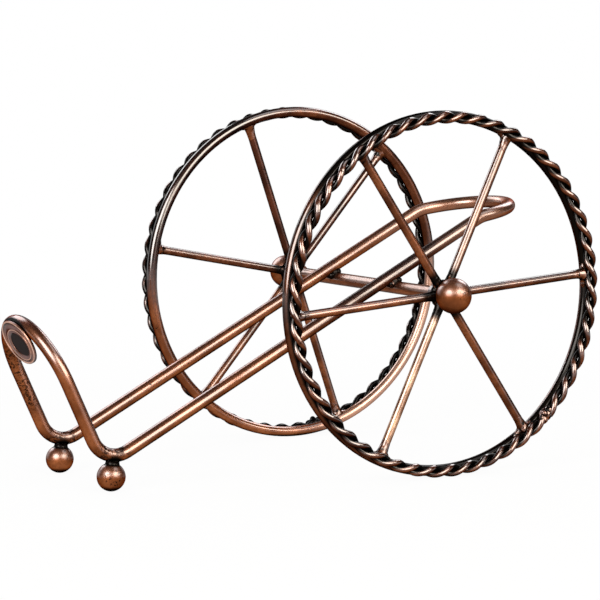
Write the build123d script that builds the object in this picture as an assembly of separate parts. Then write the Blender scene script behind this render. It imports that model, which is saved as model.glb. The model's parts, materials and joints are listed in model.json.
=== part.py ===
from build123d import *
import math
import os

# A bottle cradle in the form of a two-wheeled cart, bent and welded from round steel bar.
# Millimetres, +Z up. The low end with the ball feet points to -X, the wheels are at +X, and the
# origin is on the floor under the middle of the whole object. Right is -Y and left is +Y.

# Bars and balls
BAR_D = 6.0
RIM_BAR_D = 5.0
SPOKE_D = 4.0
STRAND_D = 2.8
END_BALL_D = 16.0
FOOT_BALL_D = 12.7

# Wheels
RIM_R = 80.0
RIM_Y = 66.0
SPOKE_COUNT = 6
SPOKE_OUT = 1.8
RIGHT_SPOKE_DEG = 4.6
LEFT_SPOKE_DEG = 49.2
TWIST_TURNS = 26
STRAND_GAP = 0.14
ROPE_TO_RIM_GAP = 0.06
ROPE_SHY = 0.05
SPOKE_TO_ROPE_GAP = 0.1
ROPE_END_GAP = 2.4
RIGHT_ROPE_JOINT_DEG = -47.0
LEFT_ROPE_JOINT_DEG = 280.0

# Hubs
BUSH_D = 9.2
BUSH_IN = 5.0
BUSH_OUT = 2.0
BUSH_CLEARANCE = 0.05
END_FLOAT = 0.4
COLLAR_D = 8.6
COLLAR_T = 2.0
END_BALL_OUT = 7.6
AXLE_IN_BALL = 2.5

# Bent bar of the cradle
RAIL_HALF_SPACING = 27.2
RAIL_SLOPE_DEG = 27.5
STOP_LEAN_DEG = 24.2
STOP_HEIGHT = 68.4
FRONT_BEND_R = 12.0
REAR_SLOPE_DEG = 9.2
REAR_KNEE_X = 47.8
REAR_KNEE_R = 20.0
REAR_END_X = 76.9
FOOT_SHIFT = 2.4

# Oval plate on the front of the stop loop
PLATE_W = 30.0
PLATE_H = 21.0
PLATE_T = 1.3
PLATE_DROP = 8.4
PLATE_EDGE_R = 0.4
PLATE_SEAT = 0.25
LIP_W = 1.1
RING_SINK = 0.25
GROOVE_DEPTH = 0.4
RING_W = 22.0
RING_H = 15.6
RING_DROP = 1.2
RING_BAND = 2.4
RECESS_DEPTH = 0.6
RECESS_DRAFT = 0.3

# Weld beads
RIM_WELD_R = 2.8
ROOT_R = 2.9
ROOT_LENGTH = 7.0
ROOT_FEATHER = 0.15
AXLE_WELD_R = 3.4
FOOT_NECK_R = 3.1
HUB_WELD_R = 6.4
HUB_WELD_T = 1.7
HUB_WELD_IN = 0.8
ROPE_WELD_LENGTH = 8.0
ROPE_WELD_T = 0.5
ROPE_WELD_WEB = 1.0

# Sizes worked out from the ones above
BAR_R = BAR_D / 2
RIM_BAR_R = RIM_BAR_D / 2
SPOKE_R = SPOKE_D / 2
STRAND_R = STRAND_D / 2
TWIST_R = STRAND_R + STRAND_GAP / 2
ROPE_BAR_R = TWIST_R + STRAND_R
ROPE_R = RIM_R + RIM_BAR_R - ROPE_BAR_R - ROPE_SHY
ROPE_OUT = RIM_BAR_R + ROPE_BAR_R + ROPE_TO_RIM_GAP
SPOKE_END_R = ROPE_R - math.sqrt(ROPE_BAR_R**2 - (ROPE_OUT - SPOKE_OUT - SPOKE_R) ** 2) - SPOKE_TO_ROPE_GAP
END_BALL_R = END_BALL_D / 2
FOOT_R = FOOT_BALL_D / 2
BUSH_R = BUSH_D / 2
SPOKE_Y = RIM_Y + SPOKE_OUT
END_BALL_Y = SPOKE_Y + END_BALL_OUT
BALL_FLAT_Y = SPOKE_Y + BUSH_OUT + END_FLOAT
AXLE_HALF = END_BALL_Y + AXLE_IN_BALL
AXLE_Z = RIM_R + RIM_BAR_R

SLOPE = math.radians(RAIL_SLOPE_DEG)
LEAN = math.radians(STOP_LEAN_DEG)
REAR_SLOPE = math.radians(REAR_SLOPE_DEG)
RAIL_RISE = BAR_D / math.cos(SLOPE)
STOP_UP = Vector(-math.sin(LEAN), 0, math.cos(LEAN))
STOP_FRONT = Vector(-math.cos(LEAN), 0, -math.sin(LEAN))
RAIL_BACK = Vector(math.cos(SLOPE), 0, math.sin(SLOPE))

# The front bend rests on the ball feet, which fixes the corner of its two straight runs
HALF_CORNER = (math.pi / 2 - SLOPE + LEAN) / 2
BEND_RISE = FRONT_BEND_R / math.sin(HALF_CORNER)
BISECTOR = (STOP_UP + RAIL_BACK).normalized()
CORNER_Z = FOOT_BALL_D + BAR_R + FRONT_BEND_R - BEND_RISE * BISECTOR.Z
CORNER_DX = (CORNER_Z - AXLE_Z - RAIL_RISE) / math.tan(SLOPE)
PLATE_TOP = STOP_HEIGHT - PLATE_DROP + PLATE_H / 2
PLATE_FACE = BAR_R - PLATE_SEAT + PLATE_T
PLATE_EDGE_X = STOP_UP.X * (PLATE_TOP - PLATE_EDGE_R) + STOP_FRONT.X * (PLATE_FACE - PLATE_EDGE_R)
FRONT_DX = CORNER_DX + PLATE_EDGE_X - PLATE_EDGE_R
AXLE_X = -(FRONT_DX + AXLE_Z) / 2
CORNER = Vector(AXLE_X + CORNER_DX, 0, CORNER_Z)
BEND_CENTRE = CORNER + BISECTOR * BEND_RISE
FOOT_X = BEND_CENTRE.X - FOOT_SHIFT
STOP_TOP = CORNER + STOP_UP * STOP_HEIGHT
PLATE_CENTRE = STOP_TOP - STOP_UP * PLATE_DROP
PLATE_PLANE = Plane(
    origin=PLATE_CENTRE + STOP_FRONT * (BAR_R - PLATE_SEAT),
    x_dir=(0, -1, 0),
    z_dir=STOP_FRONT,
)

parts = {}


def largest(shape):
    """The biggest solid that a cut leaves, without its loose crumbs."""
    return max(shape.solids(), key=lambda solid: solid.volume)


def at_y(point, y):
    return Vector(point.X, y, point.Z)


def rod(start, end, radius):
    plane = Plane(origin=start, z_dir=end - start)
    return Solid.make_cylinder(radius, (end - start).length, plane)


def rod_along_y(x, z, low, high, radius):
    return rod(Vector(x, low, z), Vector(x, high, z), radius)


# Bent bar: half of the loop is swept from the top of the stop to the rear end, then mirrored

def cradle_half_path():
    y = -RAIL_HALF_SPACING
    knee = Vector(AXLE_X + REAR_KNEE_X, 0, AXLE_Z + RAIL_RISE + REAR_KNEE_X * math.tan(SLOPE))
    rear_back = Vector(math.cos(REAR_SLOPE), 0, math.sin(REAR_SLOPE))
    rear_run = (AXLE_X + REAR_END_X - knee.X) / rear_back.X
    rear_end = knee + rear_back * rear_run
    rear_centre = rear_end - rear_back * RAIL_HALF_SPACING
    bend_reach = FRONT_BEND_R / math.tan(HALF_CORNER)
    knee_reach = REAR_KNEE_R * math.tan((SLOPE - REAR_SLOPE) / 2)
    stop_spring = at_y(STOP_TOP - STOP_UP * RAIL_HALF_SPACING, y)
    bend_top = at_y(CORNER + STOP_UP * bend_reach, y)
    bend_back = at_y(CORNER + RAIL_BACK * bend_reach, y)
    knee_in = at_y(knee - RAIL_BACK * knee_reach, y)
    knee_out = at_y(knee + rear_back * knee_reach, y)
    return Wire([
        Edge.make_tangent_arc(STOP_TOP, (0, -1, 0), stop_spring),
        Edge.make_line(stop_spring, bend_top),
        Edge.make_tangent_arc(bend_top, -STOP_UP, bend_back),
        Edge.make_line(bend_back, knee_in),
        Edge.make_tangent_arc(knee_in, RAIL_BACK, knee_out),
        Edge.make_line(knee_out, at_y(rear_centre, y)),
        Edge.make_tangent_arc(at_y(rear_centre, y), rear_back, rear_end),
    ])


def make_cradle_loop():
    section = Plane(origin=STOP_TOP, z_dir=(0, -1, 0)) * Circle(BAR_R)
    half = sweep(section, cradle_half_path())
    return half + mirror(half, Plane.XZ)


# Oval plate, dished inside its lip, with a raised ring round a plain recess, seated on the loop

def plate_oval(width, height, lift, drop=0):
    return PLATE_PLANE.offset(lift) * Pos(0, -drop) * Ellipse(width / 2, height / 2)


def make_badge_plate(loop):
    blank = extrude(plate_oval(PLATE_W, PLATE_H, 0), PLATE_T)
    front_edge = blank.faces().sort_by(Axis(PLATE_PLANE.origin, STOP_FRONT))[-1].edges()
    blank = fillet(front_edge, PLATE_EDGE_R)
    ring_lift = PLATE_T - RING_SINK
    groove_lift = ring_lift - GROOVE_DEPTH
    groove = extrude(plate_oval(PLATE_W - 2 * LIP_W, PLATE_H - 2 * LIP_W, groove_lift), PLATE_T)
    groove -= extrude(plate_oval(RING_W, RING_H, groove_lift, RING_DROP), GROOVE_DEPTH)
    # The recess widens towards the front, by its draft for each depth that it rises
    floor = plate_oval(RING_W - 2 * RING_BAND, RING_H - 2 * RING_BAND, ring_lift - RECESS_DEPTH, RING_DROP)
    mouth_band = RING_BAND - 2 * RECESS_DRAFT
    mouth = plate_oval(RING_W - 2 * mouth_band, RING_H - 2 * mouth_band, ring_lift + RECESS_DEPTH, RING_DROP)
    return largest(blank - groove - loft([floor, mouth]) - loop)


# Feet, axle and what is fixed to the axle

def make_foot(side):
    return Pos(FOOT_X, side * RAIL_HALF_SPACING, FOOT_R) * Sphere(FOOT_R)


def make_foot_neck(side, loop, ball):
    start = Vector(FOOT_X, side * RAIL_HALF_SPACING, FOOT_R)
    toward_bend = at_y(BEND_CENTRE, start.Y) - start
    end = start + toward_bend.normalized() * (FOOT_R + BAR_R)
    return largest(rod(start, end, FOOT_NECK_R) - ball - loop)


def make_axle():
    return rod_along_y(AXLE_X, AXLE_Z, -AXLE_HALF, AXLE_HALF, BAR_R)


def make_end_ball(side):
    ball = Pos(AXLE_X, side * END_BALL_Y, AXLE_Z) * Sphere(END_BALL_R)
    inner_side = rod_along_y(AXLE_X, AXLE_Z, 0, side * BALL_FLAT_Y, END_BALL_D)
    bore = rod_along_y(AXLE_X, AXLE_Z, 0, side * AXLE_HALF, BAR_R)
    return largest(ball - inner_side - bore)


def make_stop_collar(side):
    outer_y = SPOKE_Y - BUSH_IN - END_FLOAT
    inner_y = outer_y - COLLAR_T
    ring = rod_along_y(AXLE_X, AXLE_Z, side * inner_y, side * outer_y, COLLAR_D / 2)
    bore = rod_along_y(AXLE_X, AXLE_Z, 0, side * RIM_Y, BAR_R)
    return largest(ring - bore)


def make_axle_weld(side, axle, loop):
    touch = Vector(-math.sin(SLOPE), 0, math.cos(SLOPE)) * BAR_R
    seat = Vector(AXLE_X, side * RAIL_HALF_SPACING, AXLE_Z) + touch
    bead = Pos(seat) * Sphere(AXLE_WELD_R)
    return largest(bead.cut(axle, loop))


# Wheel: local frame with the axle along Y through the origin, outboard towards -Y

def wheel_point(radius, degrees, outboard):
    angle = math.radians(degrees)
    return Vector(radius * math.cos(angle), -outboard, radius * math.sin(angle))


def strand_point(joint_deg, turn_deg, phase):
    """Centre of one strand, turn_deg round the wheel from the joint of the rope ring."""
    twist = TWIST_TURNS * math.radians(turn_deg) + phase
    radius = ROPE_R + TWIST_R * math.cos(twist)
    return wheel_point(radius, joint_deg + turn_deg, ROPE_OUT + TWIST_R * math.sin(twist))


def strand_heading(joint_deg, turn_deg, phase):
    step = 0.001
    ahead = strand_point(joint_deg, turn_deg + step, phase)
    behind = strand_point(joint_deg, turn_deg - step, phase)
    return (ahead - behind).normalized()


def biarc(start, start_heading, end, end_heading):
    """Two arcs, tangent to each other and to both headings."""
    chord = end - start
    both = start_heading + end_heading
    a = 2 * (1 - start_heading.dot(end_heading))
    b = 2 * chord.dot(both)
    c = -chord.dot(chord)
    reach = (math.sqrt(b * b - 4 * a * c) - b) / (2 * a)
    first = start + start_heading * reach
    last = end - end_heading * reach
    middle = (first + last) * 0.5
    return [
        Edge.make_tangent_arc(start, start_heading, middle),
        Edge.make_tangent_arc(middle, (last - first).normalized(), end),
    ]


def strand_piece(joint_deg, phase, start_deg, end_deg):
    """One strand of the twisted pair, swept on biarcs of a quarter turn of the twist."""
    quarter_turns = math.ceil((end_deg - start_deg) * TWIST_TURNS / 90)
    stations = [start_deg + (end_deg - start_deg) * i / quarter_turns for i in range(quarter_turns + 1)]
    edges = []
    for here, there in zip(stations, stations[1:]):
        edges += biarc(
            strand_point(joint_deg, here, phase), strand_heading(joint_deg, here, phase),
            strand_point(joint_deg, there, phase), strand_heading(joint_deg, there, phase),
        )
    start = Plane(
        origin=strand_point(joint_deg, start_deg, phase),
        z_dir=strand_heading(joint_deg, start_deg, phase),
    )
    return sweep(start * Circle(STRAND_R), Wire(edges))


def wheel_solids(spoke_deg, joint_deg):
    """The pieces of one wheel, in the wheel's local frame."""
    end_deg = math.degrees(ROPE_END_GAP / 2 / ROPE_R)
    phases = {"rope_strand_a": 0.0, "rope_strand_b": math.pi}
    ring = Rot(90, 0, 0) * Torus(RIM_R, RIM_BAR_R)
    rope_space = Pos(0, -ROPE_OUT, 0) * Rot(90, 0, 0) * Torus(ROPE_R, ROPE_BAR_R)
    solids = {"rim_ring": ring}
    for name, phase in phases.items():
        solids[name] = strand_piece(joint_deg, phase, end_deg, 360 - end_deg)

    bush_blank = rod_along_y(0, 0, BUSH_IN - SPOKE_OUT, -BUSH_OUT - SPOKE_OUT, BUSH_R)
    bore = rod_along_y(0, 0, RIM_R, -RIM_R, BAR_R + BUSH_CLEARANCE)
    solids["hub_bush"] = largest(bush_blank - bore)

    # One spoke and its weld are made pointing up, then turned to each of the spokes' places
    spoke_up = rod(Vector(0, -SPOKE_OUT, 0), Vector(0, -SPOKE_OUT, SPOKE_END_R), SPOKE_R)
    spoke_up = largest(spoke_up.cut(bush_blank, ring))
    root_z = RIM_R - RIM_BAR_R
    root_plane = Plane(origin=(0, -SPOKE_OUT, root_z - ROOT_LENGTH), z_dir=(0, 0, 1))
    root_up = Solid.make_cone(SPOKE_R + ROOT_FEATHER, ROOT_R, ROOT_LENGTH, root_plane)
    bead_up = Pos(0, -SPOKE_OUT - SPOKE_R / 2, root_z) * Sphere(RIM_WELD_R)
    bead_up = largest((bead_up + root_up).cut(ring, rope_space, spoke_up))
    spokes = []
    rim_welds = []
    for index in range(SPOKE_COUNT):
        turn = Rot(0, 90 - spoke_deg - index * 360 / SPOKE_COUNT, 0)
        spokes.append(turn * spoke_up)
        rim_welds.append(turn * bead_up)
        solids[f"spoke_{index + 1}"] = spokes[index]
    solids["rim_welds"] = Compound(rim_welds)

    weld_plane = Plane(origin=(0, HUB_WELD_IN - SPOKE_OUT, 0), z_dir=(0, 1, 0))
    hub_weld = Solid.make_cone(HUB_WELD_R, BUSH_R, HUB_WELD_T, weld_plane)
    solids["hub_weld"] = largest(hub_weld.cut(bush_blank, *spokes))

    # The weld is a sleeve over both ends of the rope and the web that fills the gap between them
    gap_web = Pos(ROPE_R, -ROPE_OUT, 0) * Box(RIM_BAR_D * 2, RIM_BAR_D * 2, ROPE_WELD_WEB)
    sleeve_r = ROPE_BAR_R + ROPE_WELD_T
    sleeve = scale(Sphere(sleeve_r), by=(1, 1, ROPE_WELD_LENGTH / 2 / sleeve_r))
    tread = rod_along_y(0, 0, RIM_R, -RIM_R, RIM_R + RIM_BAR_R - ROPE_SHY)
    bead = (Pos(ROPE_R, -ROPE_OUT, 0) * sleeve) - (rope_space - gap_web) - ring
    solids["rope_weld"] = Rot(0, -joint_deg, 0) * largest(bead & tread)
    return solids


def place_wheels():
    right = Pos(AXLE_X, -RIM_Y, AXLE_Z)
    for name, solid in wheel_solids(RIGHT_SPOKE_DEG, RIGHT_ROPE_JOINT_DEG).items():
        parts[f"right_{name}"] = right * solid
    # The left wheel is the same wheel turned about, so its angles run the other way
    left = Pos(AXLE_X, RIM_Y, AXLE_Z) * Rot(0, 0, 180)
    for name, solid in wheel_solids(180 - LEFT_SPOKE_DEG, 180 - LEFT_ROPE_JOINT_DEG).items():
        parts[f"left_{name}"] = left * solid


def place_frame():
    loop = make_cradle_loop()
    axle = make_axle()
    sides = {"right": -1, "left": 1}
    parts["cradle_loop"] = loop
    parts["axle"] = axle
    parts["badge_plate"] = make_badge_plate(loop)
    necks = []
    for name, side in sides.items():
        ball = make_foot(side)
        parts[f"{name}_foot_ball"] = ball
        parts[f"{name}_end_ball"] = make_end_ball(side)
        parts[f"{name}_stop_collar"] = make_stop_collar(side)
        necks.append(make_foot_neck(side, loop, ball))
    parts["foot_welds"] = Compound(necks)
    parts["axle_welds"] = Compound([make_axle_weld(side, axle, loop) for side in sides.values()])


os.makedirs("parts", exist_ok=True)
place_frame()
place_wheels()
for node, solid in parts.items():
    export_step(solid, f"parts/{node}.step")
whole = Compound([solid for shape in parts.values() for solid in shape.solids()]).bounding_box()
print("box", whole.min, whole.max)
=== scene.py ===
import json
import math
from functools import reduce

import bmesh
import bpy
from mathutils import Matrix, Vector
from mathutils.noise import noise as lump_noise


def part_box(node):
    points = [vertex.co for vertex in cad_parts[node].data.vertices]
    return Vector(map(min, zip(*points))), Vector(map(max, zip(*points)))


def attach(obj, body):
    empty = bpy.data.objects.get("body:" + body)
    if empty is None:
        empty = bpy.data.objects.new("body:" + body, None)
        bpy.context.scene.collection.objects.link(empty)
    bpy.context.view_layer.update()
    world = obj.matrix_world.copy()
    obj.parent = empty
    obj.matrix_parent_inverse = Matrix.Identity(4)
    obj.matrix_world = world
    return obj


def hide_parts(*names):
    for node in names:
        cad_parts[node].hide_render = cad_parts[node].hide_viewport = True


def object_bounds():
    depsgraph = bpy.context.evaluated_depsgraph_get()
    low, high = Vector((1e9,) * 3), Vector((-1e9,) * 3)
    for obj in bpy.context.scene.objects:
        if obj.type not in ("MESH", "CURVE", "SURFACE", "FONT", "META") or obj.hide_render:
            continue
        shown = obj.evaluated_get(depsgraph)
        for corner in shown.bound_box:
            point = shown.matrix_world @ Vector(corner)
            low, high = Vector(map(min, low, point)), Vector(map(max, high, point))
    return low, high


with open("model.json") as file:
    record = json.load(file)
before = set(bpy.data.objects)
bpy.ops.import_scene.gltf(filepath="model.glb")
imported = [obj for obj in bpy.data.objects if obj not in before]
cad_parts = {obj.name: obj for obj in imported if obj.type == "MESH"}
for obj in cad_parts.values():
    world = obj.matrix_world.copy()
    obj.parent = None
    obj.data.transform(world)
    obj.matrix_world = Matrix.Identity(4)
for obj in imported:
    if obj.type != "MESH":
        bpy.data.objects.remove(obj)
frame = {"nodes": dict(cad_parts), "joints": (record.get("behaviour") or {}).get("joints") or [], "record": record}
cad_low, cad_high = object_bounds()
nodes = frame["nodes"]
SIDES = {"right": -1, "left": 1}

# Sizes and places, in metres, most of them worked out from the frame
MM = 0.001


def box_middle(name):
    low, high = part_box(name)
    return (low + high) / 2


def box_half(name):
    low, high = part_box(name)
    return (high - low) / 2


hinge = next(joint for joint in frame["joints"] if joint["child"] == "right_wheel")
plate_mount = next(mount for mount in frame["record"]["mounts"] if mount["name"] == "plate_face")
AXLE_X = box_middle("axle").x
AXLE_Z = box_middle("axle").z
WHEEL_MIDDLE = Vector((AXLE_X, 0, AXLE_Z))
BAR_R = box_half("axle").z
RIM_Y = -box_middle("right_rim_ring").y
RIM_BAR_R = box_half("right_rim_ring").y
RIM_R = box_half("right_rim_ring").x - RIM_BAR_R
ROPE_Y = -box_middle("right_rope_strand_a").y
ROPE_BAR_R = box_half("right_rope_strand_a").y
ROPE_R = box_half("right_rope_strand_a").x - ROPE_BAR_R
ROPE_OUT = ROPE_Y - RIM_Y
SPOKE_OUT = -hinge["pos_m"][1] - RIM_Y
SPOKE_COUNT = 6
BUSH_R = box_half("right_hub_bush").x
HUB_FRONT_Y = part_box("right_end_ball")[0].y
FOOT = box_middle("right_foot_ball")
FOOT_R = box_half("right_foot_ball").z
RAIL_Y = -FOOT.y
RAIL_SLOPE = math.radians(27.5)
BEND_R = 12 * MM
BEND_Z = FOOT_R * 2 + BAR_R
FOOT_SHIFT = 2.4 * MM

# Oval plate on the stop loop: its place and directions in metres, its own sizes in millimetres
PLATE_FLOOR = Vector(plate_mount["pos_m"])
PLATE_FRONT = Vector(plate_mount["axis"])
PLATE_UP = Vector((PLATE_FRONT.z, 0, -PLATE_FRONT.x))
PLATE_SIDE = Vector((0, -1, 0))
RING_DROP = 1.2
PLATE_MIDDLE = PLATE_FLOOR + PLATE_UP * RING_DROP * MM
PLATE_HALF = (15.0, 10.5)
RING_HALF = (11.05, 7.85)
CENTRE_HALF = (4.0, 2.6)

# Camera, solved from the photograph's wheels, rails and balls
CAMERA_PLACE = (AXLE_X - 571.51 * MM, -923.17 * MM, 181.06 * MM)
CAMERA_YAW = -30.133
CAMERA_PITCH = -5.619
FOCAL_PX = 2294.8
FRAME_PX = 600
SENSOR_MM = 36.0


def make_camera():
    data = bpy.data.cameras.new("camera")
    data.sensor_width = SENSOR_MM
    data.lens = FOCAL_PX / FRAME_PX * SENSOR_MM
    camera = bpy.data.objects.new("camera", data)
    camera.location = CAMERA_PLACE
    camera.rotation_euler = (math.radians(90 + CAMERA_PITCH), 0, math.radians(CAMERA_YAW))
    bpy.context.scene.collection.objects.link(camera)
    bpy.context.scene.camera = camera


# Node helpers

def add(tree, kind, inputs=None, **settings):
    """A shader node. An input is a value, or a socket to link from."""
    made = tree.nodes.new(kind)
    for name, value in settings.items():
        setattr(made, name, value)
    for name, value in (inputs or {}).items():
        if isinstance(value, bpy.types.NodeSocket):
            tree.links.new(value, made.inputs[name])
        else:
            made.inputs[name].default_value = value
    return made


def math_node(tree, operation, a, b=0.0):
    return add(tree, "ShaderNodeMath", {0: a, 1: b}, operation=operation).outputs[0]


def either(tree, *masks):
    """The largest of several masks."""
    return reduce(lambda a, b: math_node(tree, "MAXIMUM", a, b), masks)


def times(tree, *factors):
    return reduce(lambda a, b: math_node(tree, "MULTIPLY", a, b), factors)


def minus(tree, a, b):
    return math_node(tree, "SUBTRACT", a, b)


def sum_of_squares(tree, a, b):
    return math_node(tree, "ADD", times(tree, a, a), times(tree, b, b))


def hypotenuse(tree, a, b):
    return math_node(tree, "SQRT", sum_of_squares(tree, a, b))


def vector_node(tree, operation, a, b=(0, 0, 0), output="Vector"):
    return add(tree, "ShaderNodeVectorMath", {0: a, 1: b}, operation=operation).outputs[output]


def dot(tree, a, b):
    return vector_node(tree, "DOT_PRODUCT", a, b, "Value")


def split(tree, vector):
    """A vector's X, Y and Z."""
    return add(tree, "ShaderNodeSeparateXYZ", {0: vector}).outputs


def ramp(tree, value, low, high, to_low=0.0, to_high=1.0):
    """value eased from to_low, at low, to to_high, at high."""
    inputs = {"Value": value, "From Min": low, "From Max": high, "To Min": to_low, "To Max": to_high}
    return add(tree, "ShaderNodeMapRange", inputs, interpolation_type="SMOOTHSTEP").outputs[0]


def mix(tree, factor, a, b):
    """Colour a, going over to b."""
    return add(tree, "ShaderNodeMix", {0: factor, 6: a, 7: b}, data_type="RGBA").outputs[2]


def mix_value(tree, factor, a, b):
    """Number a, going over to b."""
    return add(tree, "ShaderNodeMix", {0: factor, 2: a, 3: b}, data_type="FLOAT").outputs[0]


def noise(tree, place, grain, detail=4.0, roughness=0.55):
    """Noise with grains of about that size, in metres."""
    inputs = {"Vector": place, "Scale": 1.0 / grain, "Detail": detail, "Roughness": roughness}
    return add(tree, "ShaderNodeTexNoise", inputs).outputs[0]


def near(tree, place, spot, reach, fade):
    """1 within reach of a spot, going to 0 over the fade."""
    return ramp(tree, vector_node(tree, "DISTANCE", place, spot, "Value"), reach + fade, reach)


# Finish: copper lacquer, going black as patina and as painted shade. Tones are a deep and a light colour.
# Spans, starts and ends say where an effect is nil, and then where it is full.

BAR_COPPER = ((0.14, 0.041, 0.014, 1), (0.29, 0.092, 0.033, 1))
# Pale copper for polished crests and for painted highlights.
HIGHLIGHT_AND_RUBBED_COPPER = (0.70, 0.42, 0.31, 1)
DARK_COPPER = ((0.03, 0.010, 0.006, 1), (0.10, 0.030, 0.015, 1))
# Near-black for a ring's side in painted shade.
SHADE_BLACK_COPPER = ((0.010, 0.004, 0.003, 1), (0.045, 0.014, 0.008, 1))
SPOKE_COPPER = ((0.07, 0.021, 0.009, 1), (0.22, 0.070, 0.027, 1))
WHEEL_COPPER = ((0.055, 0.016, 0.007, 1), (0.17, 0.054, 0.023, 1))
# A lighter brown for one sector of the left ring.
LIGHT_BROWN_COPPER = ((0.15, 0.045, 0.017, 1), (0.34, 0.112, 0.043, 1))
ROPE_COPPER = ((0.046, 0.014, 0.007, 1), (0.16, 0.051, 0.022, 1))
# Black for patina and for painted shade.
PATINA_AND_SHADE_BLACK = (0.006, 0.004, 0.003, 1)
EDGE_TINT = (0.15, 0.085, 0.065, 1)
AXLE_EDGE_TINT = (0.6, 0.6, 0.6, 1)
COAT = 0.9
# Share of the coat kept on parts black with patina or painted shade.
PATINA_AND_SHADE_COAT = 0.15
COAT_ROUGHNESS = 0.28
COAT_IOR = 2.2
ROUGHNESS = 0.42
ROUGHNESS_SPREAD = 0.04
# Painted shade: how far down-facing surfaces go towards black.
PAINTED_UNDERSIDE_SHADE = 0.7
ROUGHNESS_SPAN = (0.3, 0.7)
# Facing-up values where the painted underside shade starts and is full.
PAINTED_UNDERSIDE_SHADE_SPAN = (-0.45, -0.95)
# Occlusion values where the black in crevices, patina and painted shade, starts and is full.
CREVICE_PATINA_AND_SHADE_SPAN = (0.75, 0.30)
GLOSS_SPAN = (0.90, 0.60)
BLOTCH_GRAIN = 14 * MM
BLOTCH_SPAN = (0.35, 0.68)
FINE_GRAIN = 1.4 * MM
FINE_SPAN = (0.48, 0.66)
FINE_DARKENING = 0.5
PIT_GRAIN = 1.0 * MM
PIT_SPAN = (0.56, 0.64)
PIT_DEPTH = 3.0
STRAY_PIT_GRAIN = 9 * MM
STRAY_PIT_SPAN = (0.62, 0.72)
BUMP_STRENGTH = 0.4


def start_material(name):
    material = bpy.data.materials.new(name)
    material.use_nodes = True
    tree = material.node_tree
    tree.nodes.clear()
    place = add(tree, "ShaderNodeTexCoord").outputs["Object"]
    return material, tree, place


def surface_normal(tree):
    return add(tree, "ShaderNodeTexCoord").outputs["Normal"]


def finish_material(tree, place, tones, patina_and_shade=0.0, pitted=0.0, lump=0.003 * MM, crevice_reach=4 * MM,
                    coat=COAT, coat_roughness=COAT_ROUGHNESS, rough=ROUGHNESS, dull_below=0.0, fade=0.15,
                    edge=EDGE_TINT):
    """Copper lacquer that goes over to black where the mask of patina and painted shade is 1, with pits where
    pitted is 1.

    Its gloss fades on surfaces that face down further than dull_below.
    """
    deep, light = tones
    fine = noise(tree, place, FINE_GRAIN, detail=5.0)
    copper = mix(tree, ramp(tree, noise(tree, place, BLOTCH_GRAIN), *BLOTCH_SPAN), deep, light)
    copper = mix(tree, ramp(tree, fine, *FINE_SPAN, 0.0, FINE_DARKENING), copper, deep)
    facing_up = split(tree, surface_normal(tree))["Z"]
    # Painted shade: surfaces that face down go over towards black.
    copper = mix(tree, ramp(tree, facing_up, *PAINTED_UNDERSIDE_SHADE_SPAN, 0.0, PAINTED_UNDERSIDE_SHADE), copper, PATINA_AND_SHADE_BLACK)
    stray = ramp(tree, noise(tree, place, STRAY_PIT_GRAIN, detail=2.0), *STRAY_PIT_SPAN)
    pits = ramp(tree, noise(tree, place, PIT_GRAIN, detail=2.0, roughness=0.6), *PIT_SPAN)
    pits = times(tree, pits, either(tree, stray, pitted))
    # Black in crevices found by ambient occlusion: patina and painted shade.
    closeness = add(tree, "ShaderNodeAmbientOcclusion", {"Distance": crevice_reach}, samples=8)
    crevice_patina_and_shade = ramp(tree, closeness.outputs["AO"], *CREVICE_PATINA_AND_SHADE_SPAN)
    dark = either(tree, crevice_patina_and_shade, pits, patina_and_shade)
    height = minus(tree, fine, times(tree, pits, PIT_DEPTH))
    bump = add(tree, "ShaderNodeBump", {"Height": height, "Strength": BUMP_STRENGTH, "Distance": lump})
    facing = add(tree, "ShaderNodeLayerWeight", {"Blend": 0.5}).outputs["Facing"]
    gloss = times(tree, ramp(tree, facing_up, dull_below - fade, dull_below + fade),
                  ramp(tree, facing, *GLOSS_SPAN),
                  ramp(tree, dark, 0.0, 1.0, coat, coat * PATINA_AND_SHADE_COAT))
    shader = add(tree, "ShaderNodeBsdfPrincipled", {
        "Base Color": mix(tree, dark, copper, PATINA_AND_SHADE_BLACK),
        "Metallic": 1.0,
        "Roughness": ramp(tree, fine, *ROUGHNESS_SPAN, rough - ROUGHNESS_SPREAD, rough + ROUGHNESS_SPREAD),
        "Specular Tint": edge,
        "Coat Weight": gloss,
        "Coat Roughness": coat_roughness,
        "Coat IOR": COAT_IOR,
        "Normal": bump.outputs[0],
    })
    output = add(tree, "ShaderNodeOutputMaterial")
    tree.links.new(shader.outputs[0], output.inputs[0])


# Bent bar, axle and balls. A reach says how far a spot goes, and over how far it then fades.

# Painted shade: ahead of the axle, the bar goes darker on sides that face right and down.
SHADED_SIDE_DIRECTION = Vector((0.85, 0.0, -0.53))
SIDE_SHADE_AMOUNT = 0.7
SIDE_SHADE_STARTS = (0.28, 0.62)
SIDE_SHADE_ENDS = (AXLE_X + 10 * MM, AXLE_X - 10 * MM)
RAIL_DARK = 0.85
RAIL_DARK_STARTS = (AXLE_X - 60 * MM, AXLE_X - 20 * MM)
RAIL_DARK_ENDS = (AXLE_X + 56 * MM, AXLE_X + 34 * MM)
RIGHT_RAIL_STARTS = (5 * MM, -5 * MM)
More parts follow.
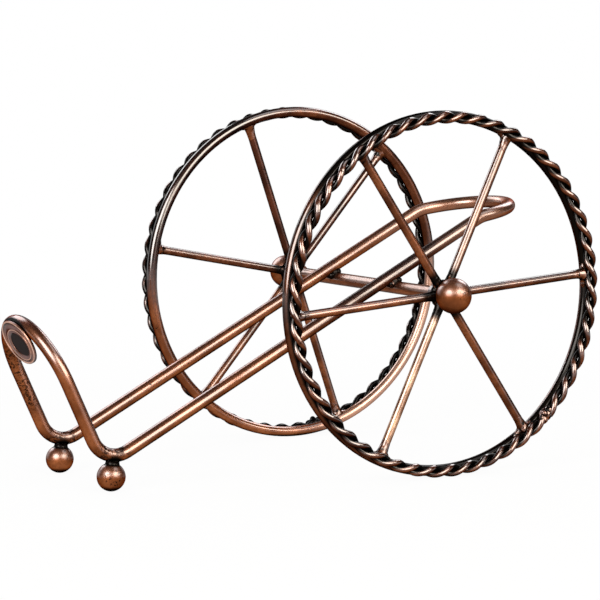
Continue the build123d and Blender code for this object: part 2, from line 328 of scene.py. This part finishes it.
# Painted light: behind the axle the bar goes part way to the pale copper.
REAR_PAINTED_LIGHT = 0.16
REAR_PAINTED_LIGHT_STARTS = (AXLE_X + 10 * MM, AXLE_X + 40 * MM)
MOTTLE = 0.85
MOTTLE_GRAIN = 2.2 * MM
MOTTLE_SPAN = (0.44, 0.60)
SCUFF = 0.8
SCUFF_GRAIN = 1.2 * MM
SCUFF_SPAN = (0.50, 0.62)
BEND_REACH = (6 * MM, 5 * MM)
BEND_NECK_REACH = (3.6 * MM, 2.4 * MM)
BALL_NECK_REACH = (3.4 * MM, 1.6 * MM)
LEG_SPOT = FOOT + Vector((-20 * MM, 2 * RAIL_Y, 40 * MM))
LEG_REACH = (14 * MM, 6 * MM)
FOOT_FRONT = FOOT + Vector((-0.20, -0.92, 0.15)) * FOOT_R
FOOT_FRONT_REACH = (3.4 * MM, 2 * MM)
HUB_SPOT = Vector((AXLE_X + 1 * MM, HUB_FRONT_Y, AXLE_Z + 2 * MM))
HUB_SPOT_REACH = (2 * MM, 2 * MM)
# Where the painted shadow round the oval plate starts and is full.
PLATE_SHADOW_ENDS = (1.20, 1.05)


def foot_joint(side):
    """Where the ball foot touches the bend."""
    ball = Vector((FOOT.x, side * RAIL_Y, FOOT.z))
    bend = Vector((FOOT.x + FOOT_SHIFT, side * RAIL_Y, BEND_Z + BEND_R))
    return ball + (bend - ball).normalized() * FOOT_R


def at_feet(tree, place, reach, fade):
    """1 where the ball feet join the bends."""
    return either(tree, *(near(tree, place, foot_joint(side), reach, fade) for side in SIDES.values()))


def plate_gap_shadow(tree, place):
    """Painted shadow: 1 on the bar close round the oval plate's edge, where the sum of squares is 1."""
    arm = vector_node(tree, "SUBTRACT", place, PLATE_MIDDLE)
    half_width, half_height = PLATE_HALF
    across = dot(tree, arm, PLATE_SIDE / (half_width * MM))
    along = dot(tree, arm, PLATE_UP / (half_height * MM))
    return ramp(tree, sum_of_squares(tree, across, along), *PLATE_SHADOW_ENDS)


def bar_material():
    """The bent bar: painted shade on sides facing right and down ahead of the axle, dark on the right rail by the
    axle, painted light behind the axle, soiled on the bends and a leg, a painted shadow round the plate, and black
    necks.
    """
    material, tree, place = start_material("copper_bar")
    where = split(tree, place)
    turned = dot(tree, surface_normal(tree), SHADED_SIDE_DIRECTION)
    painted_side_shade = times(tree, ramp(tree, turned, *SIDE_SHADE_STARTS, 0.0, SIDE_SHADE_AMOUNT),
                     ramp(tree, where["X"], *SIDE_SHADE_ENDS))
    by_axle = times(tree, ramp(tree, where["X"], *RAIL_DARK_STARTS),
                    ramp(tree, where["X"], *RAIL_DARK_ENDS),
                    ramp(tree, where["Y"], *RIGHT_RAIL_STARTS, 0.0, RAIL_DARK))
    rear_painted_light = ramp(tree, where["X"], *REAR_PAINTED_LIGHT_STARTS, 0.0, REAR_PAINTED_LIGHT)
    tones = [mix(tree, rear_painted_light, mix(tree, by_axle, tone, dark), HIGHLIGHT_AND_RUBBED_COPPER)
             for tone, dark in zip(BAR_COPPER, DARK_COPPER)]
    bends = [Vector((FOOT.x, side * RAIL_Y, BEND_Z)) for side in SIDES.values()]
    on_bend = either(tree, *(near(tree, place, bend, *BEND_REACH) for bend in bends))
    on_leg = near(tree, place, LEG_SPOT, *LEG_REACH)
    mottled = ramp(tree, noise(tree, place, MOTTLE_GRAIN), *MOTTLE_SPAN, 0.0, MOTTLE)
    scuffed = ramp(tree, noise(tree, place, SCUFF_GRAIN, detail=3.0), *SCUFF_SPAN, 0.0, SCUFF)
    soiled = either(tree, times(tree, on_bend, mottled), times(tree, on_leg, scuffed))
    # Black at the feet's necks: dark weld, and painted shade in the narrow gap.
    necks = at_feet(tree, place, *BEND_NECK_REACH)
    dark = either(tree, painted_side_shade, soiled, plate_gap_shadow(tree, place), necks)
    finish_material(tree, place, tones, dark, either(tree, on_bend, on_leg), coat_roughness=0.22)
    return material


def axle_material():
    material, tree, place = start_material("copper_axle")
    finish_material(tree, place, BAR_COPPER, edge=AXLE_EDGE_TINT)
    return material


def ball_material():
    """The balls: pitted on the right foot and on the right hub, black at the feet's necks, as dark weld and
    painted shade.
    """
    material, tree, place = start_material("copper_ball")
    pitted = either(tree, near(tree, place, FOOT_FRONT, *FOOT_FRONT_REACH),
                    near(tree, place, HUB_SPOT, *HUB_SPOT_REACH))
    necks = at_feet(tree, place, *BALL_NECK_REACH)
    finish_material(tree, place, BAR_COPPER, necks, pitted, lump=0.014 * MM,
                    coat=1.0, rough=0.48, dull_below=0.18, fade=0.2)
    return material


# Wheels. A sector is a direction across the wheel and up, and the cosines where it starts and is full.

# Sides of the rings that go dark as painted shade.
RIM_SHADE_SECTORS = {"right": (0.75, 0.66, -0.45, -0.15), "left": (-0.80, 0.60, 0.55, 0.85)}
# A sector of the left ring with a painted highlight, and how strong it is.
RIM_HIGHLIGHT_SECTOR = (0.78, -0.62, 0.65, 0.95)
RIM_HIGHLIGHT_AMOUNT = 0.6
# A sector of the left ring in a lighter brown.
RIM_LIGHT_BROWN_SECTOR = (-0.72, -0.70, -0.1, 0.5)
RIM_GROOVE_STARTS = (RIM_R + 0.95 * RIM_BAR_R, RIM_R + 0.35 * RIM_BAR_R)
ROPE_GROOVE_STARTS = (0.86 * ROPE_BAR_R, 0.64 * ROPE_BAR_R)
ROPE_INNER_STARTS = (0.2 * ROPE_BAR_R, -0.3 * ROPE_BAR_R)
ROPE_SHADE = 0.35
ROPE_SHADE_FADE = 0.6 * MM
HUB_DARK_ENDS = (15 * MM, 10 * MM)
SPOKE_TONES = {
    "right_spoke_1": WHEEL_COPPER,
    "right_spoke_2": ((0.07, 0.024, 0.011, 1), (0.22, 0.085, 0.042, 1)),
    # right_spoke_5's pale tones are a painted highlight.
    "right_spoke_5": ((0.20, 0.09, 0.045, 1), (0.55, 0.32, 0.20, 1)),
    "left_spoke_1": DARK_COPPER,
    "left_spoke_5": ROPE_COPPER,
    "left_spoke_6": DARK_COPPER,
}


def wheel_polar(tree, place):
    """Distance from the axle's line, and distance out from the middle of the cart along the axle."""
    where = split(tree, place)
    radius = hypotenuse(tree, minus(tree, where["X"], AXLE_X), minus(tree, where["Z"], AXLE_Z))
    return radius, math_node(tree, "ABSOLUTE", where["Y"])


def wheel_sector(tree, place, across, up, low, high):
    """1 on the side of the wheel that lies towards (across, up), from its middle."""
    arm = vector_node(tree, "SUBTRACT", place, WHEEL_MIDDLE)
    flat = vector_node(tree, "MULTIPLY", arm, (1, 0, 1))
    return ramp(tree, dot(tree, vector_node(tree, "NORMALIZE", flat), (across, 0, up)), low, high)


def spoke_material(name, tones):
    """A spoke, black near the hub, as patina and painted shade behind the end ball."""
    material, tree, place = start_material(name)
    radius, _ = wheel_polar(tree, place)
    finish_material(tree, place, tones, ramp(tree, radius, *HUB_DARK_ENDS), coat_roughness=0.15)
    return material


def rim_material(side):
    """The plain ring: black towards the rope as patina and painted shade, a side in painted shade, and on the left
    a painted highlight sector and a lighter brown one.
    """
    material, tree, place = start_material(f"copper_rim_{side}")
    radius, out = wheel_polar(tree, place)
    # Black towards the rope: patina, and painted shade where the rope covers the ring.
    outer = ramp(tree, out, RIM_Y - ROPE_SHADE_FADE, RIM_Y + ROPE_SHADE_FADE)
    inward = ramp(tree, radius, *RIM_GROOVE_STARTS)
    # Painted shade: one side of the ring goes dark.
    shaded_side = wheel_sector(tree, place, *RIM_SHADE_SECTORS[side])
    tones = WHEEL_COPPER
    if side == "right":
        groove = times(tree, outer, either(tree, inward, shaded_side, ROPE_SHADE))
    else:
        groove = times(tree, outer, inward)
        # Painted highlight: one sector goes part way to the pale copper.
        brighter = times(tree, wheel_sector(tree, place, *RIM_HIGHLIGHT_SECTOR), RIM_HIGHLIGHT_AMOUNT)
        light_brown = wheel_sector(tree, place, *RIM_LIGHT_BROWN_SECTOR)
        tones = [mix(tree, brighter, mix(tree, shaded_side, mix(tree, light_brown, tone, other), dark), HIGHLIGHT_AND_RUBBED_COPPER)
                 for tone, dark, other in zip(WHEEL_COPPER, SHADE_BLACK_COPPER, LIGHT_BROWN_COPPER)]
    finish_material(tree, place, tones, groove, coat_roughness=0.13)
    return material


def rope_material():
    """The rope's strands, black in the groove between them and towards the plain ring, as patina and painted
    shade.
    """
    material, tree, place = start_material("copper_rope")
    radius, out = wheel_polar(tree, place)
    along = minus(tree, out, ROPE_Y)
    from_core = hypotenuse(tree, minus(tree, radius, ROPE_R), along)
    groove = ramp(tree, from_core, *ROPE_GROOVE_STARTS)
    inner_side = ramp(tree, along, *ROPE_INNER_STARTS)
    finish_material(tree, place, ROPE_COPPER, either(tree, groove, inner_side),
                    coat=1.0, coat_roughness=0.16, dull_below=-0.05)
    return material


# Welds and oval plate. The plate's starts are heights over its recess.

WELD_GRAIN = 2.4 * MM
PLATE_CREST_STARTS = (0.60 * MM, 0.66 * MM)
PLATE_RECESS_STARTS = (0.15 * MM, 0.05 * MM)
# Heights where the painted shade on the plate's back starts and is full.
PLATE_BACK_SHADE_STARTS = (-0.02 * MM, -0.12 * MM)
PLATE_DARK = 0.8


def weld_material(name, low, high, coat=COAT):
    """Lumpy weld: black below, copper above, where a coarse noise goes from low to high."""
    material, tree, place = start_material(name)
    lumps = noise(tree, place, WELD_GRAIN, detail=3.0)
    finish_material(tree, place, SPOKE_COPPER, ramp(tree, lumps, high, low), pitted=0.4, lump=0.06 * MM,
                    crevice_reach=2 * MM, coat=coat, coat_roughness=0.18, dull_below=-0.1)
    return material


def plate_material():
    """The oval plate: lighter on its crests, polished and with a painted highlight, brown in the groove, black in
    the recess, and painted shade on its back edge.
    """
    material, tree, place = start_material("copper_plate")
    height = dot(tree, vector_node(tree, "SUBTRACT", place, PLATE_FLOOR), PLATE_FRONT)
    # Crests go towards the pale copper: polished, and a painted highlight.
    crest = ramp(tree, height, *PLATE_CREST_STARTS)
    recess = ramp(tree, height, *PLATE_RECESS_STARTS, 0.0, PLATE_DARK)
    # Painted shade on the plate's back edge, towards the bar.
    behind = ramp(tree, height, *PLATE_BACK_SHADE_STARTS, 0.0, PLATE_DARK)
    tones = [mix(tree, crest, tone, HIGHLIGHT_AND_RUBBED_COPPER) for tone in BAR_COPPER]
    finish_material(tree, place, tones, either(tree, recess, behind), lump=0.03 * MM,
                    crevice_reach=1.2 * MM, coat=0.5, coat_roughness=0.3, dull_below=-2.0)
    return material


def dress_nodes():
    """Each node takes the material under its own name, or the first whose name is part of the node's."""
    materials = {
        "spoke": spoke_material("copper_spoke", SPOKE_COPPER),
        "right_rim_ring": rim_material("right"),
        "left_rim_ring": rim_material("left"),
        "rope_strand": rope_material(),
        "ball": ball_material(),
        "axle": axle_material(),
        "": bar_material(),
    }
    for name, tones in SPOKE_TONES.items():
        materials[name] = spoke_material(f"copper_{name}", tones)
    for name in nodes:
        kind = next(kind for kind in (name, *materials) if kind in materials and kind in name)
        data = nodes[name].data
        data.materials.clear()
        data.materials.append(materials[kind])


# Weld pieces: overlapping forms fused into one skin, then smoothed and made uneven

def close_rings(skin, rings):
    """Faces between neighbouring rings of points, and over both ends."""
    for ring, other in zip(rings, rings[1:]):
        for step, point in enumerate(ring):
            following = (step + 1) % len(ring)
            skin.faces.new((point, ring[following], other[following], other[step]))
    skin.faces.new(list(reversed(rings[0])))
    skin.faces.new(rings[-1])


def add_tube(skin, points, radii, sides=20):
    """A closed tube through the points, with its own radius at each."""
    rings = []
    for index, point in enumerate(points):
        before = points[max(index - 1, 0)]
        after = points[min(index + 1, len(points) - 1)]
        turn = (after - before).to_track_quat("Z", "Y")
        ring = []
        for step in range(sides):
            angle = 2 * math.pi * step / sides
            arm = turn @ Vector((math.cos(angle), math.sin(angle), 0))
            ring.append(skin.verts.new(point + arm * radii[index]))
        rings.append(ring)
    close_rings(skin, rings)


def add_ball(skin, place, radius):
    bmesh.ops.create_icosphere(skin, subdivisions=3, radius=radius, matrix=Matrix.Translation(place))


def fuse(skin, voxel, smoothing, lump, grain):
    """The forms in skin as one mesh, with lumps of that height and grain."""
    rough = bpy.data.meshes.new("rough")
    skin.to_mesh(rough)
    skin.free()
    holder = bpy.data.objects.new("rough", rough)
    bpy.context.scene.collection.objects.link(holder)
    remesh = holder.modifiers.new("fuse", "REMESH")
    remesh.mode = "VOXEL"
    remesh.voxel_size = voxel
    soften = holder.modifiers.new("soften", "SMOOTH")
    soften.iterations = smoothing
    soften.factor = 0.5
    shown = holder.evaluated_get(bpy.context.evaluated_depsgraph_get())
    mesh = bpy.data.meshes.new_from_object(shown)
    bpy.data.objects.remove(holder)
    bpy.data.meshes.remove(rough)
    normals = [vertex.normal.copy() for vertex in mesh.vertices]
    for vertex, normal in zip(mesh.vertices, normals):
        vertex.co += normal * lump * lump_noise(vertex.co / grain)
    mesh.shade_smooth()
    return mesh


def place_piece(name, mesh, body, slot, material, *replaced):
    mesh.name = name
    mesh.materials.clear()
    mesh.materials.append(material)
    piece = bpy.data.objects.new(name, mesh)
    bpy.context.scene.collection.objects.link(piece)
    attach(piece, body)
    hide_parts(*replaced)


class WheelFrame:
    """Places on one wheel, from a direction across it."""

    def __init__(self, side, toward):
        self.out = Vector((0, SIDES[side], 0))
        self.middle = WHEEL_MIDDLE + self.out * RIM_Y
        self.up = Vector((toward.x - AXLE_X, 0, toward.z - AXLE_Z)).normalized()
        self.along = self.up.cross(self.out)

    def place(self, radius, turn, out):
        """radius from the axle, turn along the rim and out from the plain ring's middle."""
        angle = turn / RIM_R
        arm = self.up * math.cos(angle) + self.along * math.sin(angle)
        return self.middle + arm * radius + self.out * out


# Weld forms, in millimetres. A root or a neck is a row of places along its axis, with a radius at each.
RIM_ROOT = ((-7.0, 2.01), (-4.0, 2.12), (-1.8, 2.45), (0.3, 3.0))
RIM_LEAN = 1.2
LEAN_FIRST_RAD = 1
LEAN_STEP_RAD = 2.4
# Beads on a spoke's root: rise from the ring's inner edge, share of the lean, way out and radius
RIM_BEADS = ((0.2, 1.0, 0.8, 2.2), (0.8, 1.6, 1.7, 1.4))
FILLET_TURNS = range(-6, 7, 2)
FILLET_RISE = 0.9
FILLET_OUT = 1.1
FILLET_THIN = 0.4
FILLET_SWELL = 1.9
FILLET_TAPER_DEG = 14
HUB_ROOT = ((4.3, 2.3), (6.0, 2.3), (8.0, 2.15), (10.5, 2.01))
HUB_BEADS = 24
HUB_BEAD_R = 1.7
HUB_BEAD_RISE = 0.5
HUB_BEAD_IN = 0.8
FOOT_NECK = ((-1.5, 3.9), (-0.8, 3.3), (0.0, 3.0), (0.7, 3.2), (1.5, 4.0))
# Lumps of the rope's joint: rise from the rope's middle, turn along the rim, way out and radius
ROPE_LUMPS = (
    (0.0, 0.0, 0.0, 3.0),
    (0.5, 2.6, 0.6, 2.2),
    (-0.4, -2.5, 0.3, 2.0),
    (-1.9, 0.9, 1.8, 1.5),
    (-1.2, 3.4, 1.5, 1.2),
)
# Lumps of a bead on the axle: way along the rail, way along the axle and radius
AXLE_LUMPS = ((0, 0, 3.2), (1.9, 1.6, 1.9), (-1.8, 1.7, 1.8), (1.7, -1.8, 1.8), (-1.9, -1.5, 1.9))


def fillet_radius(turn):
    """The fillet along the plain ring: widest at the spoke, thin at its ends."""
    return FILLET_THIN + FILLET_SWELL * math.cos(math.radians(FILLET_TAPER_DEG * turn))


def make_rim_welds(side, material):
    """A flared root on each spoke, a fillet along the plain ring and beads towards the rope.

    Fillet and beads lean to one side, by a different amount on each spoke.
    """
    skin = bmesh.new()
    root = RIM_R - RIM_BAR_R
    for index in range(SPOKE_COUNT):
        wheel = WheelFrame(side, box_middle(f"{side}_spoke_{index + 1}"))
        lean = RIM_LEAN * MM * math.sin(LEAN_STEP_RAD * index + LEAN_FIRST_RAD)
        add_tube(skin, [wheel.place(root + reach * MM, 0, SPOKE_OUT) for reach, _ in RIM_ROOT],
                 [radius * MM for _, radius in RIM_ROOT])
        add_tube(skin, [wheel.place(root + FILLET_RISE * MM, turn * MM + lean, FILLET_OUT * MM)
                        for turn in FILLET_TURNS],
                 [fillet_radius(turn) * MM for turn in FILLET_TURNS])
        for rise, share, out, radius in RIM_BEADS:
            add_ball(skin, wheel.place(root + rise * MM, lean * share, SPOKE_OUT + out * MM), radius * MM)
    mesh = fuse(skin, voxel=0.25 * MM, smoothing=10, lump=0.10 * MM, grain=2.2 * MM)
    place_piece(f"{side}_rim_weld_roots", mesh, f"{side}_wheel", "weld_patina", material,
                f"{side}_rim_welds")


def make_hub_weld(side, material):
    """The bead round the bush, with a root up each spoke."""
    skin = bmesh.new()
    wheel = WheelFrame(side, box_middle(f"{side}_spoke_1"))
    for step in range(HUB_BEADS):
        turn = 2 * math.pi * RIM_R * step / HUB_BEADS
        add_ball(skin, wheel.place(BUSH_R + HUB_BEAD_RISE * MM, turn, SPOKE_OUT - HUB_BEAD_IN * MM),
                 HUB_BEAD_R * MM)
    for index in range(SPOKE_COUNT):
        spoke = WheelFrame(side, box_middle(f"{side}_spoke_{index + 1}"))
        add_tube(skin, [spoke.place(reach * MM, 0, SPOKE_OUT) for reach, _ in HUB_ROOT],
                 [radius * MM for _, radius in HUB_ROOT])
    mesh = fuse(skin, voxel=0.3 * MM, smoothing=4, lump=0.14 * MM, grain=1.4 * MM)
    place_piece(f"{side}_hub_weld_bead", mesh, f"{side}_wheel", "weld_patina", material,
                f"{side}_hub_weld")


def make_rope_weld(side, material):
    """The lumpy joint that closes the rope ring."""
    skin = bmesh.new()
    wheel = WheelFrame(side, box_middle(f"{side}_rope_weld"))
    for rise, turn, out, radius in ROPE_LUMPS:
        add_ball(skin, wheel.place(ROPE_R + rise * MM, turn * MM, ROPE_OUT + out * MM), radius * MM)
    mesh = fuse(skin, voxel=0.2 * MM, smoothing=4, lump=0.12 * MM, grain=1.3 * MM)
    place_piece(f"{side}_rope_joint", mesh, f"{side}_wheel", "weld_patina", material,
                f"{side}_rope_weld")


def make_foot_welds(material):
    """The necks between the ball feet and the bends."""
    skin = bmesh.new()
    for side in SIDES.values():
        joint = foot_joint(side)
        axis = (joint - Vector((FOOT.x, side * RAIL_Y, FOOT.z))).normalized()
        add_tube(skin, [joint + axis * reach * MM for reach, _ in FOOT_NECK],
                 [radius * MM for _, radius in FOOT_NECK])
    mesh = fuse(skin, voxel=0.25 * MM, smoothing=3, lump=0.15 * MM, grain=1.3 * MM)
    place_piece("foot_weld_necks", mesh, "frame", "weld_patina", material, "foot_welds")


def make_axle_welds(material):
    """The beads where the rails lie on the axle."""
    skin = bmesh.new()
    rail = Vector((math.cos(RAIL_SLOPE), 0, math.sin(RAIL_SLOPE)))
    touch = Vector((-math.sin(RAIL_SLOPE), 0, math.cos(RAIL_SLOPE))) * BAR_R
    axle = Vector((0, 1, 0))
    for side in SIDES.values():
        seat = Vector((AXLE_X, side * RAIL_Y, AXLE_Z)) + touch
        for along, across, radius in AXLE_LUMPS:
            add_ball(skin, seat + rail * along * MM + axle * across * MM, radius * MM)
    mesh = fuse(skin, voxel=0.3 * MM, smoothing=4, lump=0.2 * MM, grain=1.5 * MM)
    place_piece("axle_weld_beads", mesh, "frame", "weld_patina", material, "axle_welds")


# Oval plate: ovals set in from its edge, and from the edge of its raised ring, each at its own height
PLATE_STEPS = 96
LIP_PROFILE = (
    (0.0, -0.45), (0.0, 0.45), (0.07, 0.68), (0.28, 0.82),
    (0.55, 0.85), (0.85, 0.78), (1.05, 0.50), (1.25, 0.20),
)
RING_PROFILE = (
    (0.0, 0.20), (0.10, 0.44), (0.25, 0.62), (0.50, 0.68), (0.80, 0.62), (1.05, 0.54),
    (1.75, 0.54), (2.10, 0.48), (2.30, 0.25), (2.45, 0.04), (2.75, 0.0),
)


def make_plate(material):
    """A rounded lip, a groove, a raised ring and a flat recess."""
    ovals = [(PLATE_HALF, inset, lift, 0.0) for inset, lift in LIP_PROFILE]
    ovals += [(RING_HALF, inset, lift, RING_DROP) for inset, lift in RING_PROFILE]
    ovals.append((CENTRE_HALF, 0.0, 0.0, RING_DROP))
    skin = bmesh.new()
    rings = []
    for (width, height), inset, lift, drop in ovals:
        ring = []
        for step in range(PLATE_STEPS):
            angle = 2 * math.pi * step / PLATE_STEPS
            side = PLATE_SIDE * (width - inset) * math.cos(angle)
            up = PLATE_UP * ((height - inset) * math.sin(angle) - drop)
            ring.append(skin.verts.new(PLATE_MIDDLE + (side + up + PLATE_FRONT * lift) * MM))
        rings.append(ring)
    close_rings(skin, rings)
    bmesh.ops.recalc_face_normals(skin, faces=skin.faces)
    mesh = bpy.data.meshes.new("plate")
    skin.to_mesh(mesh)
    skin.free()
    mesh.shade_smooth()
    place_piece("oval_plate", mesh, "frame", "copper_lacquer", material, "badge_plate")


def make_pieces():
    dark = weld_material("weld_black", low=0.62, high=0.72, coat=0.4)
    brighter = weld_material("weld_copper", low=0.36, high=0.48)
    patched = weld_material("weld_patched", low=0.46, high=0.54)
    for side in SIDES:
        make_rim_welds(side, brighter)
        make_hub_weld(side, dark)
        make_rope_weld(side, patched if side == "right" else dark)
    make_foot_welds(dark)
    make_axle_welds(dark)
    make_plate(plate_material())


# Stage: white paper under and behind the object, in a dark room with softboxes

FLOOR_HALF = 6.0
FLOOR_GREY = (0.5, 0.5, 0.5, 1)
FLOOR_GLOW = 0.95
SHADOW_FADES = (0.2, 0.6)
SHOWN_WHITE = 1.0
STUDIO_GREY = 0.45
ROOM = 0.03
BACKDROP = Vector((0.19, 0.98, 0.0))
BACKDROP_SIDES = (0.45, 0.75)
BACKDROP_TOP = (0.65, 0.42)
WHITE = (1.0, 1.0, 1.0)
KEY_WHITE = (1.0, 0.97, 0.92)
WARM_WHITE = (1.0, 0.92, 0.80)
LAMP_DISTANCE = 1.2
# Azimuth from the -Y side and elevation in degrees, size in metres, power in watts, and tint
LAMPS = {
    "key_left": (-62, 21, 0.90, 17.0, KEY_WHITE),
    "key_right": (12, 22, 0.90, 15.0, WARM_WHITE),
    "key_middle": (-25, 24, 0.40, 1.2, WARM_WHITE),
    "key_side": (42, 20, 0.35, 2.2, WARM_WHITE),
    "top_right": (50, 58, 0.70, 2.0, WHITE),
    "back_right": (118, 35, 0.60, 5.0, WHITE),
    "back_left": (190, 35, 0.80, 6.5, WHITE),
}


def make_world():
    """A white backdrop behind the object, in a darker room."""
    world = bpy.data.worlds.new("studio")
    bpy.context.scene.world = world
    world.use_nodes = True
    tree = world.node_tree
    tree.nodes.clear()
    direction = add(tree, "ShaderNodeTexCoord").outputs["Generated"]
    paper = times(tree, ramp(tree, dot(tree, direction, BACKDROP), *BACKDROP_SIDES),
                  ramp(tree, split(tree, direction)["Z"], *BACKDROP_TOP))
    path = add(tree, "ShaderNodeLightPath").outputs
    reflected = mix_value(tree, path["Is Glossy Ray"], STUDIO_GREY,
                          ramp(tree, paper, 0.0, 1.0, ROOM, SHOWN_WHITE))
    direct = either(tree, path["Is Camera Ray"], path["Is Transmission Ray"])
    strength = mix_value(tree, direct, reflected, SHOWN_WHITE)
    background = add(tree, "ShaderNodeBackground", {"Color": (1, 1, 1, 1), "Strength": strength})
    output = add(tree, "ShaderNodeOutputWorld")
    tree.links.new(background.outputs[0], output.inputs[0])


def make_floor():
    """White paper that keeps the shadow near the object and is plain white further out."""
    bpy.ops.mesh.primitive_plane_add(size=2 * FLOOR_HALF)
    floor = bpy.context.object
    floor.name = "floor"
    material, tree, place = start_material("floor_white")
    paper = add(tree, "ShaderNodeBsdfDiffuse", {"Color": FLOOR_GREY})
    glow = add(tree, "ShaderNodeEmission", {"Strength": SHOWN_WHITE})
    distance = vector_node(tree, "LENGTH", place, output="Value")
    path = add(tree, "ShaderNodeLightPath").outputs
    shown = either(tree, path["Is Camera Ray"], path["Is Glossy Ray"], path["Is Transmission Ray"])
    share = times(tree, shown, ramp(tree, distance, *SHADOW_FADES, FLOOR_GLOW, 1.0))
    both = add(tree, "ShaderNodeMixShader", {0: share, 1: paper.outputs[0], 2: glow.outputs[0]})
    output = add(tree, "ShaderNodeOutputMaterial")
    tree.links.new(both.outputs[0], output.inputs[0])
    floor.data.materials.append(material)


def softbox(name, azimuth, elevation, size, power, tint):
    """A round area lamp that looks at the middle of the object."""
    data = bpy.data.lights.new(name, "AREA")
    data.shape = "DISK"
    data.size = size
    data.energy = power
    data.color = tint
    lamp = bpy.data.objects.new(name, data)
    a, e = math.radians(azimuth), math.radians(elevation)
    target = (cad_low + cad_high) / 2
    back = Vector((math.sin(a) * math.cos(e), -math.cos(a) * math.cos(e), math.sin(e)))
    lamp.location = target + back * LAMP_DISTANCE
    lamp.rotation_euler = (-back).to_track_quat("-Z", "Y").to_euler()
    bpy.context.scene.collection.objects.link(lamp)


def make_stage():
    make_world()
    make_floor()
    for name, values in LAMPS.items():
        softbox(name, *values)


dress_nodes()
make_pieces()
make_camera()
make_stage()
bpy.context.scene.view_settings.view_transform = "Standard"
